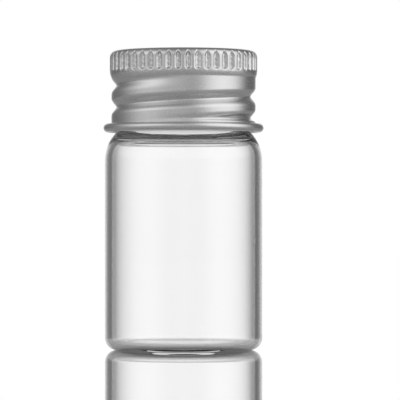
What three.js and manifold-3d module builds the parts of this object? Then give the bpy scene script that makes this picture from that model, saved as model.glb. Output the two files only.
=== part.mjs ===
// A small clear-glass sample vial with a roll-threaded aluminium screw cap and a foam liner.
// Units are millimetres, +Z is up, and the origin is the centre of the base.
import * as THREE from "three";
import { mergeVertices } from "three/addons/utils/BufferGeometryUtils.js";
import Module from "manifold-3d";

const FULL_TURN = 2 * Math.PI;

// ---- Driving dimensions ----

// Glass body, drawn from 22 mm tubing
const BODY_RADIUS = 11;
const BODY_WALL = 0.95;
const VIAL_HEIGHT = 40.4;
const HEEL_RADIUS = 1.65;
const INNER_HEEL_RADIUS = 0.9;
const FLOOR_THICKNESS = 0.8;
const PUSH_UP = 0.15;
const FOOT_WIDTH = 1.5;

// Shoulder, a quarter ellipse from the body wall to the neck
const SHOULDER_FOOT = 26.2;
const SHOULDER_WIDTH = 3;
const SHOULDER_RISE = 4.6;

// Inside of the shoulder, a tighter bend that ends nearly level, where the bore starts
const INNER_SHOULDER_FOOT = 26.3;
const INNER_SHOULDER_RADIUS = 8.8;
const INNER_SHOULDER_RISE = 2.78;
const INNER_SHOULDER_END = 75;

// Neck
const NECK_RADIUS = 8.75;
const BORE_RADIUS = 7.4;
const BORE_FOOT = 29.25;
const LIP_ROUNDING = 0.35;

// Thread on the neck. It runs right-handed from the +X side.
const PITCH = 3;
const THREAD_FOOT = 33.6;
const THREAD_TURNS = 1.6;
const THREAD_CREST_RADIUS = 9.62;
const THREAD_BASE_HALF_WIDTH = 0.85;
const THREAD_CREST_HALF_WIDTH = 0.3;
const THREAD_SUNK = 0.15;

// Cap, pressed from one sheet
const SHEET = 0.22;
const CAP_TOP = 41.75;
const CAP_CORNER = 0.95;
const BAND_RADIUS = 10.29;
const BAND_FOOT = 38.7;
const FLUTES = 48;
const FLUTE_DEPTH = 0.28;
const FLUTE_END = 0.35;
const SKIRT_RADIUS = 10.07;
const SKIRT_TOP = 38.4;
const SKIRT_FOOT = 31.75;
const BEAD_RADIUS = 11.19;
const BEAD_FOOT = 30.36;
const CURL_RADIUS = 0.6;

// Groove rolled into the skirt. Its turn is 0 on the +X side, at the height GROOVE_DATUM,
// and it is rolled right-handed from GROOVE_START to GROOVE_END, in degrees.
const GROOVE_DATUM = 32.34;
const GROOVE_DEPTH = 0.71;
const GROOVE_HALF_WIDTH = 0.98;
const GROOVE_START = -108;
const GROOVE_END = 637;
const GROOVE_RUN_OUT = 100;

// Liner disc, just clear of the lip below it and of the cap above it
const LINER_RADIUS = 9.35;
const LINER_FOOT = 40.45;
const LINER_THICKNESS = 1;

// Facets round a full turn. The cap has one crest column and one valley column to each flute.
const GLASS_FACETS = 64;
const CAP_FACETS = 2 * FLUTES;
const SKIRT_ROWS = 14;

// ---- Sections: lists of [radius, height], anticlockwise from the axis and back to it ----

// Points along an arc of a circle or an upright ellipse, both ends included.
function arc([r, z], [a, b], from, to, steps) {
  return Array.from({ length: steps + 1 }, (_, i) => {
    const t = THREE.MathUtils.degToRad(from + ((to - from) * i) / steps);
    return [r + a * Math.cos(t), z + b * Math.sin(t)];
  });
}

// Evenly spaced points along an upright wall, both ends included.
function wall(radius, from, to, steps) {
  return Array.from({ length: steps + 1 }, (_, i) => [radius, from + ((to - from) * i) / steps]);
}

// A solid turned about +Z.
function turned(section, facets) {
  const outline = section.map(([r, z]) => new THREE.Vector2(r, z));
  return new THREE.LatheGeometry(outline, facets).rotateX(Math.PI / 2);
}

// ---- Boolean union ----

const wasm = await Module();
wasm.setup();

function toSolid(geometry) {
  const bare = geometry.clone();
  bare.deleteAttribute("normal");
  bare.deleteAttribute("uv");
  const merged = mergeVertices(bare, 1e-4);
  return new wasm.Manifold(
    new wasm.Mesh({
      numProp: 3,
      vertProperties: merged.attributes.position.array,
      triVerts: new Uint32Array(merged.index.array),
    }),
  );
}

function toGeometry(solid) {
  const mesh = solid.getMesh();
  return new THREE.BufferGeometry()
    .setAttribute("position", new THREE.BufferAttribute(mesh.vertProperties, mesh.numProp))
    .setIndex(new THREE.BufferAttribute(mesh.triVerts, 1));
}

// ---- Glass vial ----

function vialSection() {
  const heel = BODY_RADIUS - HEEL_RADIUS;
  const shoulder = [BODY_RADIUS - SHOULDER_WIDTH, SHOULDER_FOOT];
  const neckAngle = THREE.MathUtils.radToDeg(Math.acos((NECK_RADIUS - shoulder[0]) / SHOULDER_WIDTH));
  const lip = [LIP_ROUNDING, LIP_ROUNDING];
  const lipHeight = VIAL_HEIGHT - LIP_ROUNDING;
  const innerRadius = BODY_RADIUS - BODY_WALL;
  const innerShoulder = [innerRadius - INNER_SHOULDER_RADIUS, INNER_SHOULDER_RISE];
  const innerHeel = [INNER_HEEL_RADIUS, INNER_HEEL_RADIUS];
  return [
    // underside, pushed up in the middle, and the flat foot ring
    [0, PUSH_UP],
    [heel - 2 * FOOT_WIDTH, 0.8 * PUSH_UP],
    [heel - FOOT_WIDTH, 0],
    // heel, body, shoulder
    ...arc([heel, HEEL_RADIUS], [HEEL_RADIUS, HEEL_RADIUS], -90, 0, 4),
    ...arc(shoulder, [SHOULDER_WIDTH, SHOULDER_RISE], 0, neckAngle, 7),
    // neck and lip
    ...arc([NECK_RADIUS - LIP_ROUNDING, lipHeight], lip, 0, 90, 2),
    ...arc([BORE_RADIUS + LIP_ROUNDING, lipHeight], lip, 90, 180, 2),
    // bore, and the inside of the shoulder
    [BORE_RADIUS, BORE_FOOT],
    ...arc([INNER_SHOULDER_RADIUS, INNER_SHOULDER_FOOT], innerShoulder, INNER_SHOULDER_END, 0, 6),
    // inner heel and floor
    ...arc([innerRadius - INNER_HEEL_RADIUS, FLOOR_THICKNESS + INNER_HEEL_RADIUS], innerHeel, 0, -90, 3),
    [0, FLOOR_THICKNESS],
  ];
}

// The helix at the root of the thread. It sinks into the neck at both ends, so that the ridge runs out.
class ThreadPath extends THREE.Curve {
  getPoint(t, target = new THREE.Vector3()) {
    const turns = t * THREAD_TURNS;
    const ridge = THREE.MathUtils.smoothstep(Math.min(turns, THREAD_TURNS - turns), 0, 0.12);
    const radius = NECK_RADIUS - THREAD_SUNK - (1 - ridge) * (THREAD_CREST_RADIUS - NECK_RADIUS);
    const angle = turns * FULL_TURN;
    return target.set(radius * Math.cos(angle), radius * Math.sin(angle), THREAD_FOOT + turns * PITCH);
  }

  // Holds the section upright: its x runs up and its y runs outwards.
  computeFrenetFrames(segments) {
    const frames = { tangents: [], normals: [], binormals: [] };
    for (let i = 0; i <= segments; i++) {
      const angle = (i / segments) * THREAD_TURNS * FULL_TURN;
      frames.tangents.push(new THREE.Vector3(-Math.sin(angle), Math.cos(angle), 0));
      frames.normals.push(new THREE.Vector3(0, 0, 1));
      frames.binormals.push(new THREE.Vector3(Math.cos(angle), Math.sin(angle), 0));
    }
    return frames;
  }
}

function thread() {
  const height = THREAD_CREST_RADIUS - NECK_RADIUS + THREAD_SUNK;
  const section = new THREE.Shape([
    new THREE.Vector2(-THREAD_BASE_HALF_WIDTH, 0),
    new THREE.Vector2(-THREAD_CREST_HALF_WIDTH, height),
    new THREE.Vector2(THREAD_CREST_HALF_WIDTH, height),
    new THREE.Vector2(THREAD_BASE_HALF_WIDTH, 0),
  ]);
  return new THREE.ExtrudeGeometry(section, {
    steps: Math.round(THREAD_TURNS * GLASS_FACETS),
    bevelEnabled: false,
    extrudePath: new ThreadPath(),
  });
}

function glassVial() {
  const body = toSolid(turned(vialSection(), GLASS_FACETS));
  return toGeometry(body.add(toSolid(thread())));
}

// ---- Aluminium cap ----

function capSection() {
  const corner = [BAND_RADIUS - CAP_CORNER, CAP_TOP - CAP_CORNER];
  const curl = [BEAD_RADIUS - CURL_RADIUS, BEAD_FOOT + CURL_RADIUS];
  const innerCorner = CAP_CORNER - SHEET;
  const innerCurl = CURL_RADIUS - SHEET;
  return [
    // inside, from the middle of the top down the skirt and round the outside of the curl
    [0, CAP_TOP - SHEET],
    ...arc(corner, [innerCorner, innerCorner], 90, 0, 3),
    [BAND_RADIUS - SHEET, BAND_FOOT + FLUTE_END],
    [BAND_RADIUS - SHEET, BAND_FOOT],
    ...wall(SKIRT_RADIUS - SHEET, SKIRT_TOP, SKIRT_FOOT, SKIRT_ROWS),
    ...arc(curl, [CURL_RADIUS, CURL_RADIUS], 180, 480, 7),
    // over the edge of the sheet, back round the inside of the curl, and up the outside of the skirt
    ...arc(curl, [innerCurl, innerCurl], 480, 180, 6),
    ...wall(SKIRT_RADIUS, SKIRT_FOOT, SKIRT_TOP, SKIRT_ROWS),
    [BAND_RADIUS, BAND_FOOT],
    [BAND_RADIUS, BAND_FOOT + FLUTE_END],
    ...arc(corner, [CAP_CORNER, CAP_CORNER], 0, 90, 3),
    [0, CAP_TOP],
  ];
}

// How far the groove presses the sheet inwards, at an angle about +Z and a height.
function grooveAt(angle, height) {
  const turnHere = ((height - GROOVE_DATUM) / PITCH) * FULL_TURN;
  const off = THREE.MathUtils.euclideanModulo(turnHere - angle + Math.PI, FULL_TURN) - Math.PI;
  const aside = (off / FULL_TURN) * (PITCH / GROOVE_HALF_WIDTH);
  if (Math.abs(aside) > 1) return 0;
  const turn = THREE.MathUtils.radToDeg(turnHere - off);
  const fromEnd = Math.min(turn - GROOVE_START, GROOVE_END - turn);
  const depth = GROOVE_DEPTH * THREE.MathUtils.smoothstep(fromEnd, 0, GROOVE_RUN_OUT);
  return (depth * (1 + Math.cos(Math.PI * aside))) / 2;
}

// How far the flutes press the sheet inwards. They fade out round the corner of the top.
function fluteAt(angle, height) {
  const valley = (1 - Math.cos(angle * FLUTES)) / 2;
  const fade = 1 - THREE.MathUtils.smoothstep(height, CAP_TOP - CAP_CORNER, CAP_TOP);
  return FLUTE_DEPTH * valley * fade;
}

function aluminiumCap() {
  const cap = turned(capSection(), CAP_FACETS);
  const at = cap.attributes.position;
  for (let i = 0; i < at.count; i++) {
    const [x, y, z] = [at.getX(i), at.getY(i), at.getZ(i)];
    const radius = Math.hypot(x, y);
    const angle = Math.atan2(y, x);
    let pressed = 0;
    if (z > SKIRT_FOOT - 0.01 && z < SKIRT_TOP + 0.01) pressed = grooveAt(angle, z);
    if (z > BAND_FOOT + 0.01 && radius > BAND_RADIUS - CAP_CORNER) pressed = fluteAt(angle, z);
    if (pressed > 0) at.setXY(i, x * (1 - pressed / radius), y * (1 - pressed / radius));
  }
  return cap;
}

// ---- Liner ----

function capLiner() {
  return new THREE.CylinderGeometry(LINER_RADIUS, LINER_RADIUS, LINER_THICKNESS, GLASS_FACETS)
    .rotateX(Math.PI / 2)
    .translate(0, 0, LINER_FOOT + LINER_THICKNESS / 2);
}

// ---- Assembly ----

const glass = new THREE.MeshStandardMaterial({
  color: 0xf0f5f4,
  roughness: 0.03,
  metalness: 0,
  transparent: true,
  opacity: 0.35,
});
const aluminium = new THREE.MeshStandardMaterial({ color: 0xb6b6b8, roughness: 0.38, metalness: 1 });
const foam = new THREE.MeshStandardMaterial({ color: 0xf0efeb, roughness: 0.85, metalness: 0 });

function named(name, geometry, material) {
  const mesh = new THREE.Mesh(geometry, material);
  mesh.name = name;
  return mesh;
}

const sampleVial = new THREE.Group();
sampleVial.add(named("glass_vial", glassVial(), glass));
sampleVial.add(named("cap_shell", aluminiumCap(), aluminium));
sampleVial.add(named("cap_liner", capLiner(), foam));

export default sampleVial;
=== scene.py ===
"""Looks for the sample vial: clear tubing glass under a satin aluminium screw cap with a foam liner.

Lengths in the shape functions are millimetres, and the meshes are made in metres.
"""

import math

import bmesh
import bpy
import numpy as np
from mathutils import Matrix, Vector


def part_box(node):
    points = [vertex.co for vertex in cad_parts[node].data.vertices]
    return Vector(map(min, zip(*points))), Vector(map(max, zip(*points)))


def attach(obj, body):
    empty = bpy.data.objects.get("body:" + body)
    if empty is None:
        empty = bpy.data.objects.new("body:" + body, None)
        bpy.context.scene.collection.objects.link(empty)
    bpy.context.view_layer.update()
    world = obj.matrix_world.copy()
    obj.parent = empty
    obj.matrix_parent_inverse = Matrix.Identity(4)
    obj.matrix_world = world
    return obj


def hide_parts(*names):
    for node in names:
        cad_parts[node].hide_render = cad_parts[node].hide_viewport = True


MM = 0.001
FULL_TURN = 2 * math.pi

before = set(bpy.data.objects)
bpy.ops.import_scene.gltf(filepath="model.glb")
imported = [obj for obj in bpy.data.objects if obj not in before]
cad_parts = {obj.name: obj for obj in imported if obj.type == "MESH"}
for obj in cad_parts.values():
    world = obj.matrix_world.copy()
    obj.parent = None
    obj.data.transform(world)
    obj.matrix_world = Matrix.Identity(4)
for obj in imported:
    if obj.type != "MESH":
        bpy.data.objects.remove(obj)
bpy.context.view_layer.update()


def size(node):
    """A round node's radius, foot and top, in mm."""
    low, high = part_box(node)
    return high.x / MM, low.z / MM, high.z / MM


BODY_RADIUS, _, LIP_TOP = size("glass_vial")
BEAD_RADIUS, BEAD_FOOT, CAP_TOP = size("cap_shell")
LINER_RADIUS, LINER_FOOT, LINER_TOP = size("cap_liner")

# Glass
BODY_WALL = 0.95
NECK_RADIUS = 8.75
BORE_RADIUS = 7.4
SHOULDER_FOOT = 26.2
SHOULDER_WIDTH = 3
SHOULDER_RISE = 4.6
SHOULDER_END = 63  # degrees round from the wall
LIP_ROUNDING = 0.45
INNER_SHOULDER_FOOT = 26.3
INNER_SHOULDER_RADIUS = 8.8
INNER_SHOULDER_RISE = 2.78
INNER_SHOULDER_END = 75  # degrees round from the wall
BORE_FOOT = 29.25
HEEL_RADIUS = 1.65
INNER_HEEL_RADIUS = 0.9
FLOOR_THICKNESS = 0.8
PUSH_UP = 0.15
FOOT_WIDTH = 1.5

# Thread, as a height at the +X side that climbs by the pitch each turn
PITCH = 3
THREAD_FOOT = 33.6
THREAD_TURNS = 1.6
THREAD_HEIGHT = 0.87
THREAD_CREST_HALF_WIDTH = 0.22
THREAD_FOOT_HALF_WIDTH = 0.88
THREAD_RUN_OUT = 0.25

# Cap
SHEET = 0.22
CAP_CORNER = 0.95
BAND_RADIUS = 10.29
BAND_FOOT = 38.7
LAND_RADIUS = 10.16
LAND_FOOT = 38.05
SKIRT_RADIUS = 10.07
SKIRT_FOOT = 31.75
CURL_RADIUS = 0.6
CURL_END = 475  # degrees, a full turn and then 25 past the curl's top
FLUTES = 48
FLUTE_DEPTH = 0.3
FLUTE_HALF_WIDTH = 0.5
FLUTE_FOOT = 38.7
FLUTE_TIP = 41.5
FLUTE_FOOT_LENGTH = 0.5
FLUTE_TIP_LENGTH = 1.1
FLUTE_FLAT_SHARE = 0.25
FLUTE_STRAIGHT_SHARE = 0.6  # of the pit's sides, the rest being rounded
FLUTE_SHIFT = 0.02
FLUTE_DEPTH_SPREAD = 0.12
FLUTE_TILT = 0.6
FLUTE_CRUMPLE = 0.07
GROOVE_DATUM = 32.34
GROOVE_DEPTH = 0.71
GROOVE_HALF_WIDTH = 1.25
GROOVE_SHARPNESS = 0.8  # 1 is a cosine, and less narrows the bottom
GROOVE_TURNS = (-0.34, 1.77)
GROOVE_RUN_OUT = 0.28


# ---- Sections: lists of (radius, height), anticlockwise from the axis and back to it ----


def line(start, end, step=0.15):
    """Points from start up to but not including end."""
    count = max(1, round(math.dist(start, end) / step))
    start, end = np.array(start), np.array(end)
    return [tuple(start + (end - start) * i / count) for i in range(count)]


def arc(centre, radii, start, end, count):
    """Points along an arc of a circle or an upright ellipse, both ends included, angles in degrees."""
    angles = np.radians(np.linspace(start, end, count + 1))
    across = centre[0] + radii[0] * np.cos(angles)
    up = centre[1] + radii[1] * np.sin(angles)
    return list(zip(across.tolist(), up.tolist()))


def bend(start, corner, end, count=6):
    """Points along a rounded corner, both ends included."""
    share = np.linspace(0, 1, count + 1)[:, None]
    points = (1 - share) ** 2 * start + 2 * share * (1 - share) * corner + share**2 * end
    return [tuple(point) for point in points]


def smooth(value, low, high):
    """0 below low, 1 above high, and a smooth step between them."""
    share = np.clip((value - low) / (high - low), 0, 1)
    return share * share * (3 - 2 * share)


# ---- Mesh helpers ----


def linked(name, data):
    """A new object in the scene."""
    made = bpy.data.objects.new(name, data)
    bpy.context.scene.collection.objects.link(made)
    return made


def turned(name, section, columns, press=None):
    """A closed mesh turned about +Z. press gives how far each point is pushed towards the axis."""
    radius, height = (values[:, None] for values in np.array(section).T)
    angle = np.linspace(0, FULL_TURN, columns, endpoint=False)[None, :]
    pressed = press(angle, radius[1:-1], height[1:-1]) if press else 0
    ring_radius = np.broadcast_to(radius[1:-1] - pressed, (len(section) - 2, columns))
    ring_height = np.broadcast_to(height[1:-1], ring_radius.shape)
    rings = np.stack([ring_radius * np.cos(angle), ring_radius * np.sin(angle), ring_height], axis=-1)
    ends = [[(0, 0, height[0, 0])], [(0, 0, height[-1, 0])]]
    points = np.concatenate([ends[0], rings.reshape(-1, 3), ends[1]]) * MM
    column = np.arange(columns)
    beside = (column + 1) % columns
    row = 1 + columns * np.arange(len(section) - 3)[:, None]
    above = row + columns
    quads = np.stack([row + column, row + beside, above + beside, above + column], axis=-1)
    last = len(points) - 1
    top_row = last - columns
    faces = quads.reshape(-1, 4).tolist()
    for here, there in zip(column.tolist(), beside.tolist()):
        faces.append((0, 1 + there, 1 + here))
    for here, there in zip(column.tolist(), beside.tolist()):
        faces.append((last, top_row + here, top_row + there))
    mesh = bpy.data.meshes.new(name)
    mesh.from_pydata(points.tolist(), [], faces)
    mesh.shade_smooth()
    return linked(name, mesh)


def along_thread(angle, height, datum):
    """How far a point is above the nearest turn of the thread, in mm, and which turn that is."""
    here = (height - datum) / PITCH
    off = (here - angle / FULL_TURN + 0.5) % 1 - 0.5
    return off * PITCH, here - off


# ---- Glass ----


def glass_section():
    """Base, outside and mouth of the vial, then back down the bore to the inner floor."""
    inner = BODY_RADIUS - BODY_WALL
    heel = BODY_RADIUS - HEEL_RADIUS
    foot = heel - FOOT_WIDTH
    shoulder = (BODY_RADIUS - SHOULDER_WIDTH, SHOULDER_FOOT)
    dome_edge = (foot - 1.5, PUSH_UP * 0.8)
    outer_shoulder = arc(shoulder, (SHOULDER_WIDTH, SHOULDER_RISE), 0, SHOULDER_END, 28)
    inner_shoulder = arc(
        (INNER_SHOULDER_RADIUS, INNER_SHOULDER_FOOT),
        (inner - INNER_SHOULDER_RADIUS, INNER_SHOULDER_RISE),
        INNER_SHOULDER_END,
        0,
        28,
    )
    neck_foot = (NECK_RADIUS, SHOULDER_FOOT + SHOULDER_RISE + 0.4)
    neck_corner = (NECK_RADIUS, outer_shoulder[-1][1] + 0.3)
    bore_foot = (BORE_RADIUS, BORE_FOOT)
    bore_corner = (BORE_RADIUS, inner_shoulder[0][1] + 0.1)
    lip = LIP_ROUNDING
    inner_heel = (inner - INNER_HEEL_RADIUS, FLOOR_THICKNESS + INNER_HEEL_RADIUS)
    return (
        line((0, PUSH_UP), dome_edge, 0.6)
        + bend(dome_edge, (foot - 0.3, PUSH_UP * 0.7), (foot, 0))
        + line((foot, 0), (heel, 0), 0.3)[1:]
        + arc((heel, HEEL_RADIUS), (HEEL_RADIUS, HEEL_RADIUS), -90, 0, 20)
        + line((BODY_RADIUS, HEEL_RADIUS), (BODY_RADIUS, SHOULDER_FOOT), 1)[1:]
        + outer_shoulder
        + bend(outer_shoulder[-1], neck_corner, neck_foot)[1:]
        + line(neck_foot, (NECK_RADIUS, LIP_TOP - lip), 0.15)[1:]
        + arc((NECK_RADIUS - lip, LIP_TOP - lip), (lip, lip), 0, 90, 8)
        + arc((BORE_RADIUS + lip, LIP_TOP - lip), (lip, lip), 90, 180, 8)
        + line((BORE_RADIUS, LIP_TOP - lip), bore_foot, 0.5)[1:]
        + bend(bore_foot, bore_corner, inner_shoulder[0])[:-1]
        + inner_shoulder
        + line((inner, INNER_SHOULDER_FOOT), (inner, inner_heel[1]), 1)[1:]
        + arc(inner_heel, (INNER_HEEL_RADIUS, INNER_HEEL_RADIUS), 0, -90, 14)
        + line((inner_heel[0], FLOOR_THICKNESS), (0, FLOOR_THICKNESS), 0.6)[1:]
        + [(0, FLOOR_THICKNESS)]
    )


def glass_thread(angle, radius, height):
    """The moulded ridge on the outside of the neck, as a push away from the axis."""
    off, turn = along_thread(angle, height, THREAD_FOOT)
    start = smooth(turn, 0, THREAD_RUN_OUT)
    end = 1 - smooth(turn, THREAD_TURNS - THREAD_RUN_OUT, THREAD_TURNS)
    ridge = 1 - smooth(np.abs(off), THREAD_CREST_HALF_WIDTH, THREAD_FOOT_HALF_WIDTH)
    on_neck = (radius > NECK_RADIUS - 0.01) & (height > SHOULDER_FOOT + SHOULDER_RISE)
    return -THREAD_HEIGHT * ridge * start * end * on_neck


# ---- Cap ----


def cap_section():
    """Inside of the pressed sheet down to the curled rim, then the outside back up to the top."""
    corner = (BAND_RADIUS - CAP_CORNER, CAP_TOP - CAP_CORNER)
    curl = (BEAD_RADIUS - CURL_RADIUS, BEAD_FOOT + CURL_RADIUS)
    inner_corner = CAP_CORNER - SHEET
    inner_curl = CURL_RADIUS - SHEET
    inside = SKIRT_RADIUS - SHEET
    band_inside = BAND_RADIUS - SHEET
    skirt_top = (SKIRT_RADIUS, LAND_FOOT - 0.15)
    land = (LAND_RADIUS, LAND_FOOT + 0.12)
    band = (BAND_RADIUS, BAND_FOOT + 0.2)
    return (
        line((0, CAP_TOP - SHEET), (corner[0], CAP_TOP - SHEET), 1)
        + arc(corner, (inner_corner, inner_corner), 90, 0, 8)
        + line((band_inside, corner[1]), (band_inside, BAND_FOOT), 0.2)[1:]
        + bend((band_inside, BAND_FOOT), (inside, BAND_FOOT - 0.2), (inside, LAND_FOOT))[:-1]
        + line((inside, LAND_FOOT), (inside, SKIRT_FOOT), 0.15)
        + bend((inside, SKIRT_FOOT), (inside, curl[1] + 0.2), (curl[0] - CURL_RADIUS, curl[1]))[:-1]
        + arc(curl, (CURL_RADIUS, CURL_RADIUS), 180, CURL_END, 26)
        + arc(curl, (inner_curl, inner_curl), CURL_END, 200, 18)
        + bend(
            (curl[0] - inner_curl, curl[1] + 0.1),
            (SKIRT_RADIUS, curl[1] + 0.3),
            (SKIRT_RADIUS, SKIRT_FOOT),
        )
        + line((SKIRT_RADIUS, SKIRT_FOOT), skirt_top, 0.11)[1:]
        + bend(skirt_top, (SKIRT_RADIUS, LAND_FOOT - 0.08), land, 4)
        + bend(land, (BAND_RADIUS, BAND_FOOT - 0.2), band, 7)[1:]
        + line(band, (BAND_RADIUS, corner[1]), 0.09)[1:]
        + arc(corner, (CAP_CORNER, CAP_CORNER), 0, 90, 16)
        + line((corner[0], CAP_TOP), (0, CAP_TOP), 0.7)[1:]
        + [(0, CAP_TOP)]
    )


def rolled_groove(angle, height):
    """How far the rolled thread presses the sheet inwards."""
    off, turn = along_thread(angle, height, GROOVE_DATUM)
    start, end = GROOVE_TURNS
    ends = smooth(turn, start, start + GROOVE_RUN_OUT) * (1 - smooth(turn, end - GROOVE_RUN_OUT, end))
    aside = np.clip(np.abs(off) / GROOVE_HALF_WIDTH, 0, 1) ** GROOVE_SHARPNESS
    dip = (1 + np.cos(math.pi * aside)) / 2
    clear_of_rim = smooth(height, SKIRT_FOOT - 0.1, SKIRT_FOOT + 0.45)
    clear_of_land = 1 - smooth(height, LAND_FOOT - 0.4, LAND_FOOT)
    return GROOVE_DEPTH * dip * ends * clear_of_rim * clear_of_land


def crumpled(angle, height):
    """The unevenness of pressed sheet, from about -1 to 1."""
    waves = ((173, 4.1, 0.0), (-109, 6.3, 1.1), (241, -3.2, 2.6), (67, 9.5, 4.2))
    return sum(np.sin(around * angle + up * height + phase) for around, up, phase in waves) / 2.5


def pressed_flutes(angle, height):
    """How far the knurling presses the sheet inwards: pits with round feet and pointed tips."""
    flute = angle * FLUTES / FULL_TURN
    unevenness = np.random.default_rng(4).normal(0, 1, (3, FLUTES))
    depth, shift, tilt = unevenness[:, (flute.astype(int) % FLUTES)[0]]
    across = (flute % 1 - 0.5) * FULL_TURN * BAND_RADIUS / FLUTES + FLUTE_SHIFT * shift
    foot = np.clip((height - FLUTE_FOOT) / FLUTE_FOOT_LENGTH, 0, 1)
    tip = np.clip((FLUTE_TIP - height) / FLUTE_TIP_LENGTH, 0, 1)
    half_width = FLUTE_HALF_WIDTH * np.sqrt(1 - (1 - foot) ** 2) * np.sin(tip * math.pi / 2)
    aside = np.abs(across) / np.maximum(half_width, 1e-6)
    straight = 1 - np.clip((aside - FLUTE_FLAT_SHARE) / (1 - FLUTE_FLAT_SHARE), 0, 1)
    rounded = 1 - smooth(aside, FLUTE_FLAT_SHARE, 1)
    pit = FLUTE_STRAIGHT_SHARE * straight + (1 - FLUTE_STRAIGHT_SHARE) * rounded
    floor = 1 + FLUTE_DEPTH_SPREAD * depth + FLUTE_TILT * tilt * across
    floor = floor + FLUTE_CRUMPLE * crumpled(angle, height)
    return FLUTE_DEPTH * floor * pit * np.minimum(1, 2 * tip) * smooth(foot, 0, 0.8)


def cap_press(angle, radius, height):
    """The groove in the skirt and the flutes in the band together."""
    in_skirt = (height > SKIRT_FOOT - 0.1) & (radius < LAND_RADIUS + 0.01)
    in_band = radius > BAND_RADIUS - CAP_CORNER
    groove = rolled_groove(angle, height) * in_skirt
    flutes = pressed_flutes(angle, height) * in_band * (height > FLUTE_FOOT)
    return groove + flutes


# ---- Liner ----


def liner_section():
    """A disc with rounded edges, and the print of the lip round its underside."""
    edge = 0.12
    pressed = LINER_FOOT + 0.05
    print_start = (BORE_RADIUS + 0.2, pressed)
    print_end = (NECK_RADIUS - 0.1, pressed)
    return (
        line((0, LINER_FOOT), (BORE_RADIUS - 0.2, LINER_FOOT), 0.5)
        + bend((BORE_RADIUS - 0.2, LINER_FOOT), (BORE_RADIUS, LINER_FOOT), print_start)
        + line(print_start, print_end, 0.3)[1:]
        + bend(print_end, (NECK_RADIUS + 0.05, LINER_FOOT), (NECK_RADIUS + 0.2, LINER_FOOT))
        + arc((LINER_RADIUS - edge, LINER_FOOT + edge), (edge, edge), -90, 0, 5)
        + arc((LINER_RADIUS - edge, LINER_TOP - edge), (edge, edge), 0, 90, 5)
        + line((LINER_RADIUS - edge, LINER_TOP), (0, LINER_TOP), 0.8)[1:]
        + [(0, LINER_TOP)]
    )


# ---- Materials ----


def new_material(name, **inputs):
    """A node material and its shader, with the shader's own sockets set."""
    material = bpy.data.materials.new(name)
    material.use_nodes = True
    shader = material.node_tree.nodes["Principled BSDF"]
    for socket, value in inputs.items():
        shader.inputs[socket.replace("_", " ")].default_value = value
    return material, shader


def add_node(material, kind, **values):
    """A node whose sockets are set, or linked where the value is another node's output."""
    node = material.node_tree.nodes.new(kind)
    for socket, value in values.items():
        target = node.inputs[socket.replace("_", " ")]
        if isinstance(value, bpy.types.NodeSocket):
            material.node_tree.links.new(value, target)
        else:
            target.default_value = value
    return node


def object_coordinates(material, stretch=(1, 1, 1)):
    """A point in the object's own coordinates, scaled along each axis."""
    place = add_node(material, "ShaderNodeTexCoord").outputs["Object"]
    return add_node(material, "ShaderNodeMapping", Vector=place, Scale=stretch).outputs["Vector"]


def noise(material, scale, detail, stretch=(1, 1, 1)):
    """Noise in the object's own coordinates, from 0 to 1."""
    coordinates = object_coordinates(material, stretch)
    node = add_node(material, "ShaderNodeTexNoise", Vector=coordinates, Scale=scale, Detail=detail)
    return node.outputs["Fac"]


def ramp(material, value, low, high):
    """value, taken from 0 to 1, as a number from low to high."""
    node = add_node(material, "ShaderNodeMapRange", Value=value, To_Min=low, To_Max=high)
    return node.outputs["Result"]


def bump(material, shader, height, strength, distance):
    """Bends the shader's normal by a height."""
    node = add_node(material, "ShaderNodeBump", Height=height, Strength=strength, Distance=distance)
    material.node_tree.links.new(node.outputs["Normal"], shader.inputs["Normal"])


def glass_material():
    """Clear glass, a little uneven in long streaks up its length from drawing."""
    material, shader = new_material(
        "clear_glass",
        Base_Color=(0.97, 0.97, 0.97, 1),
        Transmission_Weight=1.0,
        IOR=1.5,
        Roughness=0.0,
    )
    drawn = noise(material, scale=60, detail=2, stretch=(1, 1, 0.15))
    bump(material, shader, drawn, strength=0.12, distance=0.0002)
    return material


def aluminium_material():
    """Satin metal with a fine grain and a cloudy tone."""
    material, shader = new_material("satin_aluminium", Metallic=1.0)
    links = material.node_tree.links
    cloudy = noise(material, scale=250, detail=4)
    grain = noise(material, scale=9000, detail=2)
    tone = ramp(material, cloudy, low=0.66, high=0.80)
    colour = add_node(material, "ShaderNodeCombineColor", Red=tone, Green=tone, Blue=tone)
    links.new(colour.outputs["Color"], shader.inputs["Base Color"])
    links.new(ramp(material, grain, low=0.2, high=0.32), shader.inputs["Roughness"])
    bump(material, shader, grain, strength=0.25, distance=0.00001)
    return material


def foam_material():
    """White foam with fine cells."""
    material, shader = new_material(
        "white_foam",
        Base_Color=(0.86, 0.86, 0.84, 1),
        Roughness=0.8,
    )
    coordinates = object_coordinates(material)
    cells = add_node(material, "ShaderNodeTexVoronoi", Vector=coordinates, Scale=6000.0)
    bump(material, shader, cells.outputs["Distance"], strength=0.6, distance=0.00005)
    return material


# ---- Pieces ----


def add_piece(name, section, columns, press, material, node, body):
    """A turned piece that rides on its body, stands for its CAD node and takes the given material."""
    made = turned(name, section, columns, press)
    made.data.materials.append(material)
    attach(made, body)
    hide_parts(node)
    return made


glass = glass_material()
aluminium = aluminium_material()
foam = foam_material()
add_piece("glass_body", glass_section(), 256, glass_thread, glass, "glass_vial", "vial")
add_piece("screw_cap", cap_section(), 768, cap_press, aluminium, "cap_shell", "cap")
liner = add_piece("foam_liner", liner_section(), 128, None, foam, "cap_liner", "liner")


# ---- Studio ----

CAMERA_PLACE = (0.0023, -0.445, 0.0178)
CAMERA_TILT = 90.4  # degrees up from straight down
CAMERA_LENS = 286.6

TENT_RADIUS = 1.0
TENT_MIDDLE_HEIGHT = 0.02
TENT_BRIGHTNESS = 0.1

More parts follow.
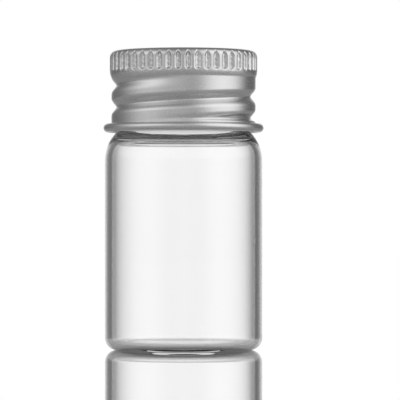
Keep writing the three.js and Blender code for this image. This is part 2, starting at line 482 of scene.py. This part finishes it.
# Side, rise, width, height, peak and edge of each light on the tent
TENT_LIGHTS = (
    (180, 4, 0.285, 0.6, 0.825, 1.5),  # backdrop
    (180, 0, 0.8, 0.8, 0.1, 1),  # glow round the backdrop
    (68, 26, 0.68, 0.85, 1.08, 2),  # key
    (-57, 24, 0.75, 0.5, 0.93, 1),  # fill
    (3, 12, 0.45, 0.5, 0.28, 1),  # front
    (0, 62, 0.5, 0.35, 0.04, 1),  # top
    (180, 78, 0.45, 0.45, 0.06, 1),  # top, behind
)


def make_camera():
    """A long lens a little below the middle of the vial, tilted up by a trace."""
    data = bpy.data.cameras.new("camera")
    data.lens = CAMERA_LENS
    data.clip_start, data.clip_end = 0.01, 5
    camera = linked("camera", data)
    camera.location = CAMERA_PLACE
    camera.rotation_euler = (math.radians(CAMERA_TILT), 0, 0)
    bpy.context.scene.camera = camera
    bpy.context.view_layer.update()
    return camera


def maths(material, operation, first, second):
    """A Math node on two values, each a number or another node's output."""
    node = material.node_tree.nodes.new("ShaderNodeMath")
    node.operation = operation
    for target, value in zip(node.inputs, (first, second)):
        if isinstance(value, bpy.types.NodeSocket):
            material.node_tree.links.new(value, target)
        else:
            target.default_value = value
    return node.outputs[0]


def soft_light(material, side, rise, width, height, peak, edge):
    """Light that fades smoothly round a direction on the tent.

    side is in degrees from the camera's side of the vial, positive to the right, and rise in degrees
    above the horizon. width and height are the distances, in radii, at which it fades to a third.
    An edge above 1 keeps it level for longer, and then fades it faster.
    """
    azimuth, elevation = math.radians(side), math.radians(rise)
    middle = Vector((math.sin(azimuth), -math.cos(azimuth), 0)) * math.cos(elevation)
    middle.z = math.sin(elevation)
    scale = Vector((1 / width, 1 / width, 1 / height))
    place = add_node(material, "ShaderNodeTexCoord").outputs["Object"]
    away = add_node(material, "ShaderNodeMapping", Vector=place, Location=-middle * scale, Scale=scale)
    squared = add_node(material, "ShaderNodeVectorMath")
    squared.operation = "DOT_PRODUCT"
    for socket in squared.inputs[:2]:
        material.node_tree.links.new(away.outputs["Vector"], socket)
    distance = maths(material, "POWER", squared.outputs["Value"], edge)
    fade = maths(material, "POWER", math.exp(-1), distance)
    return maths(material, "MULTIPLY", fade, peak)


def make_tent(camera):
    """A tent seen only in reflections and through glass, that turns with the camera's heading."""
    material = bpy.data.materials.new("tent_light")
    material.use_nodes = True
    material.node_tree.nodes.clear()
    brightness = TENT_BRIGHTNESS
    for light in TENT_LIGHTS:
        brightness = maths(material, "ADD", soft_light(material, *light), brightness)
    glow = add_node(material, "ShaderNodeEmission", Strength=brightness)
    add_node(material, "ShaderNodeOutputMaterial", Surface=glow.outputs["Emission"])
    mesh = bpy.data.meshes.new("tent")
    ball = bmesh.new()
    bmesh.ops.create_uvsphere(ball, u_segments=64, v_segments=32, radius=TENT_RADIUS)
    ball.to_mesh(mesh)
    ball.free()
    mesh.materials.append(material)
    tent = linked("tent", mesh)
    tent.location = (0, 0, TENT_MIDDLE_HEIGHT)
    heading = tent.constraints.new("COPY_ROTATION")
    heading.target = camera
    heading.use_x = False
    heading.use_y = False
    tent.visible_camera = False
    tent.visible_shadow = False


def floor_material():
    """Pale acrylic that mirrors at a glancing angle, with a glow that gloss on the vial doesn't show.

    The glow dims under the vial and close round it: a painted contact shadow.
    """
    material, shader = new_material(
        "white_acrylic_painted_shadow",
        Base_Color=(0.6, 0.6, 0.6, 1),
        Roughness=0.02,
        IOR=1.5,
        Emission_Color=(1, 1, 1, 1),
    )
    links = material.node_tree.links
    path = add_node(material, "ShaderNodeLightPath").outputs
    seen = maths(material, "ADD", path["Is Camera Ray"], path["Is Transmission Ray"])
    away = material.node_tree.nodes.new("ShaderNodeVectorMath")
    away.operation = "LENGTH"
    links.new(object_coordinates(material), away.inputs[0])
    # painted contact shadow: the glow is 0.15 under the vial and rises to 0.3 beyond two body radii
    # from its axis
    glow = add_node(
        material,
        "ShaderNodeMapRange",
        Value=away.outputs["Value"],
        From_Min=BODY_RADIUS * MM,
        From_Max=2 * BODY_RADIUS * MM,
        To_Min=0.15,
        To_Max=0.3,
    )
    glow.interpolation_type = "SMOOTHSTEP"
    strength = maths(material, "MULTIPLY", seen, glow.outputs["Result"])
    links.new(strength, shader.inputs["Emission Strength"])
    facing = add_node(material, "ShaderNodeLayerWeight", Blend=0.5).outputs["Facing"]
    glancing = add_node(material, "ShaderNodeMapRange", Value=facing, From_Min=0.84, From_Max=0.93)
    mirror = add_node(material, "ShaderNodeBsdfGlossy", Color=(1, 1, 1, 1), Roughness=0.02)
    both = add_node(material, "ShaderNodeMixShader", Fac=glancing.outputs["Result"])
    links.new(shader.outputs["BSDF"], both.inputs[1])
    links.new(mirror.outputs["BSDF"], both.inputs[2])
    links.new(both.outputs["Shader"], material.node_tree.nodes["Material Output"].inputs["Surface"])
    return material


def make_floor():
    """A round floor out to the tent."""
    turns = np.linspace(0, FULL_TURN, 96, endpoint=False)
    rim = [(TENT_RADIUS * math.cos(turn), TENT_RADIUS * math.sin(turn), 0) for turn in turns]
    mesh = bpy.data.meshes.new("floor")
    mesh.from_pydata(rim, [], [tuple(range(len(rim)))])
    mesh.materials.append(floor_material())
    floor = linked("floor", mesh)


def make_world():
    """A plain white world."""
    world = bpy.data.worlds.new("studio")
    world.use_nodes = True
    world.node_tree.nodes["Background"].inputs["Color"].default_value = (1, 1, 1, 1)
    bpy.context.scene.world = world


make_tent(make_camera())
make_floor()
make_world()

scene = bpy.context.scene
scene.view_settings.view_transform = "Standard"
scene.cycles.use_denoising = True

# The glass has many faces to pass, and the floor mirrors it
scene.cycles.max_bounces = 32
scene.cycles.glossy_bounces = 16
scene.cycles.transmission_bounces = 24
